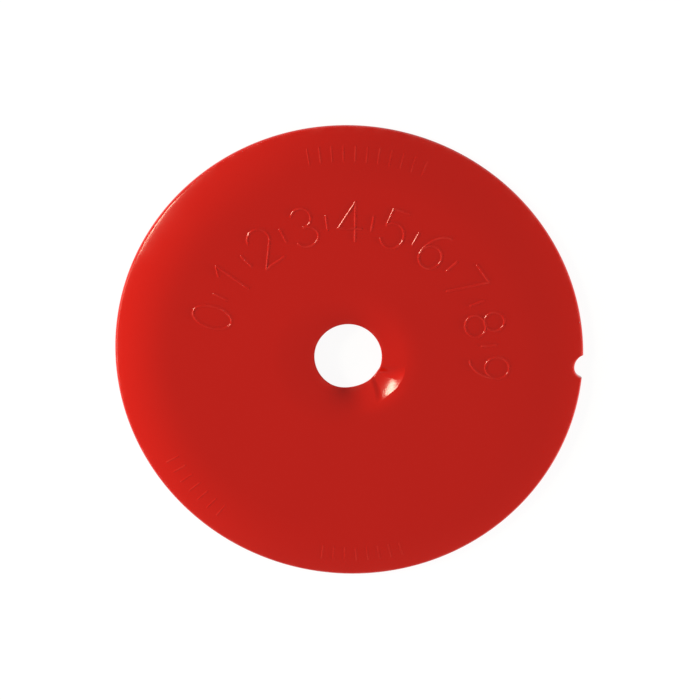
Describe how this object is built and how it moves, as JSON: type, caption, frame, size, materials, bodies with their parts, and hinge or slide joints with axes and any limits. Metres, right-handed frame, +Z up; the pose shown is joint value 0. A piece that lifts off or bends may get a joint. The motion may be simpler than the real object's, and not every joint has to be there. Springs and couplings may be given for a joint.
{
  "type": "survey marker disc",
  "caption": "Thin dished disc of glossy red plastic with a turned-down rim, a notch in its edge and a centre hole sunk in a bowl; a spike through the hole pins it to the ground as a marker.",
  "frame": {"origin": "centre of the disc, on the plane that its rim stands on", "axes": "+Z up along the hole's axis, out of the crowned face; +X towards the side with the notch, whose middle is 3.2 degrees clockwise of +X seen from above; +Y completes the right-handed set"},
  "size_m": [0.0889, 0.0889, 0.0043],
  "materials": {
    "red_plastic": "moulded gloss, one red all through"
  },
  "bodies": {
    "root": {"marker_disc": "red_plastic"}
  },
  "joints": []
}
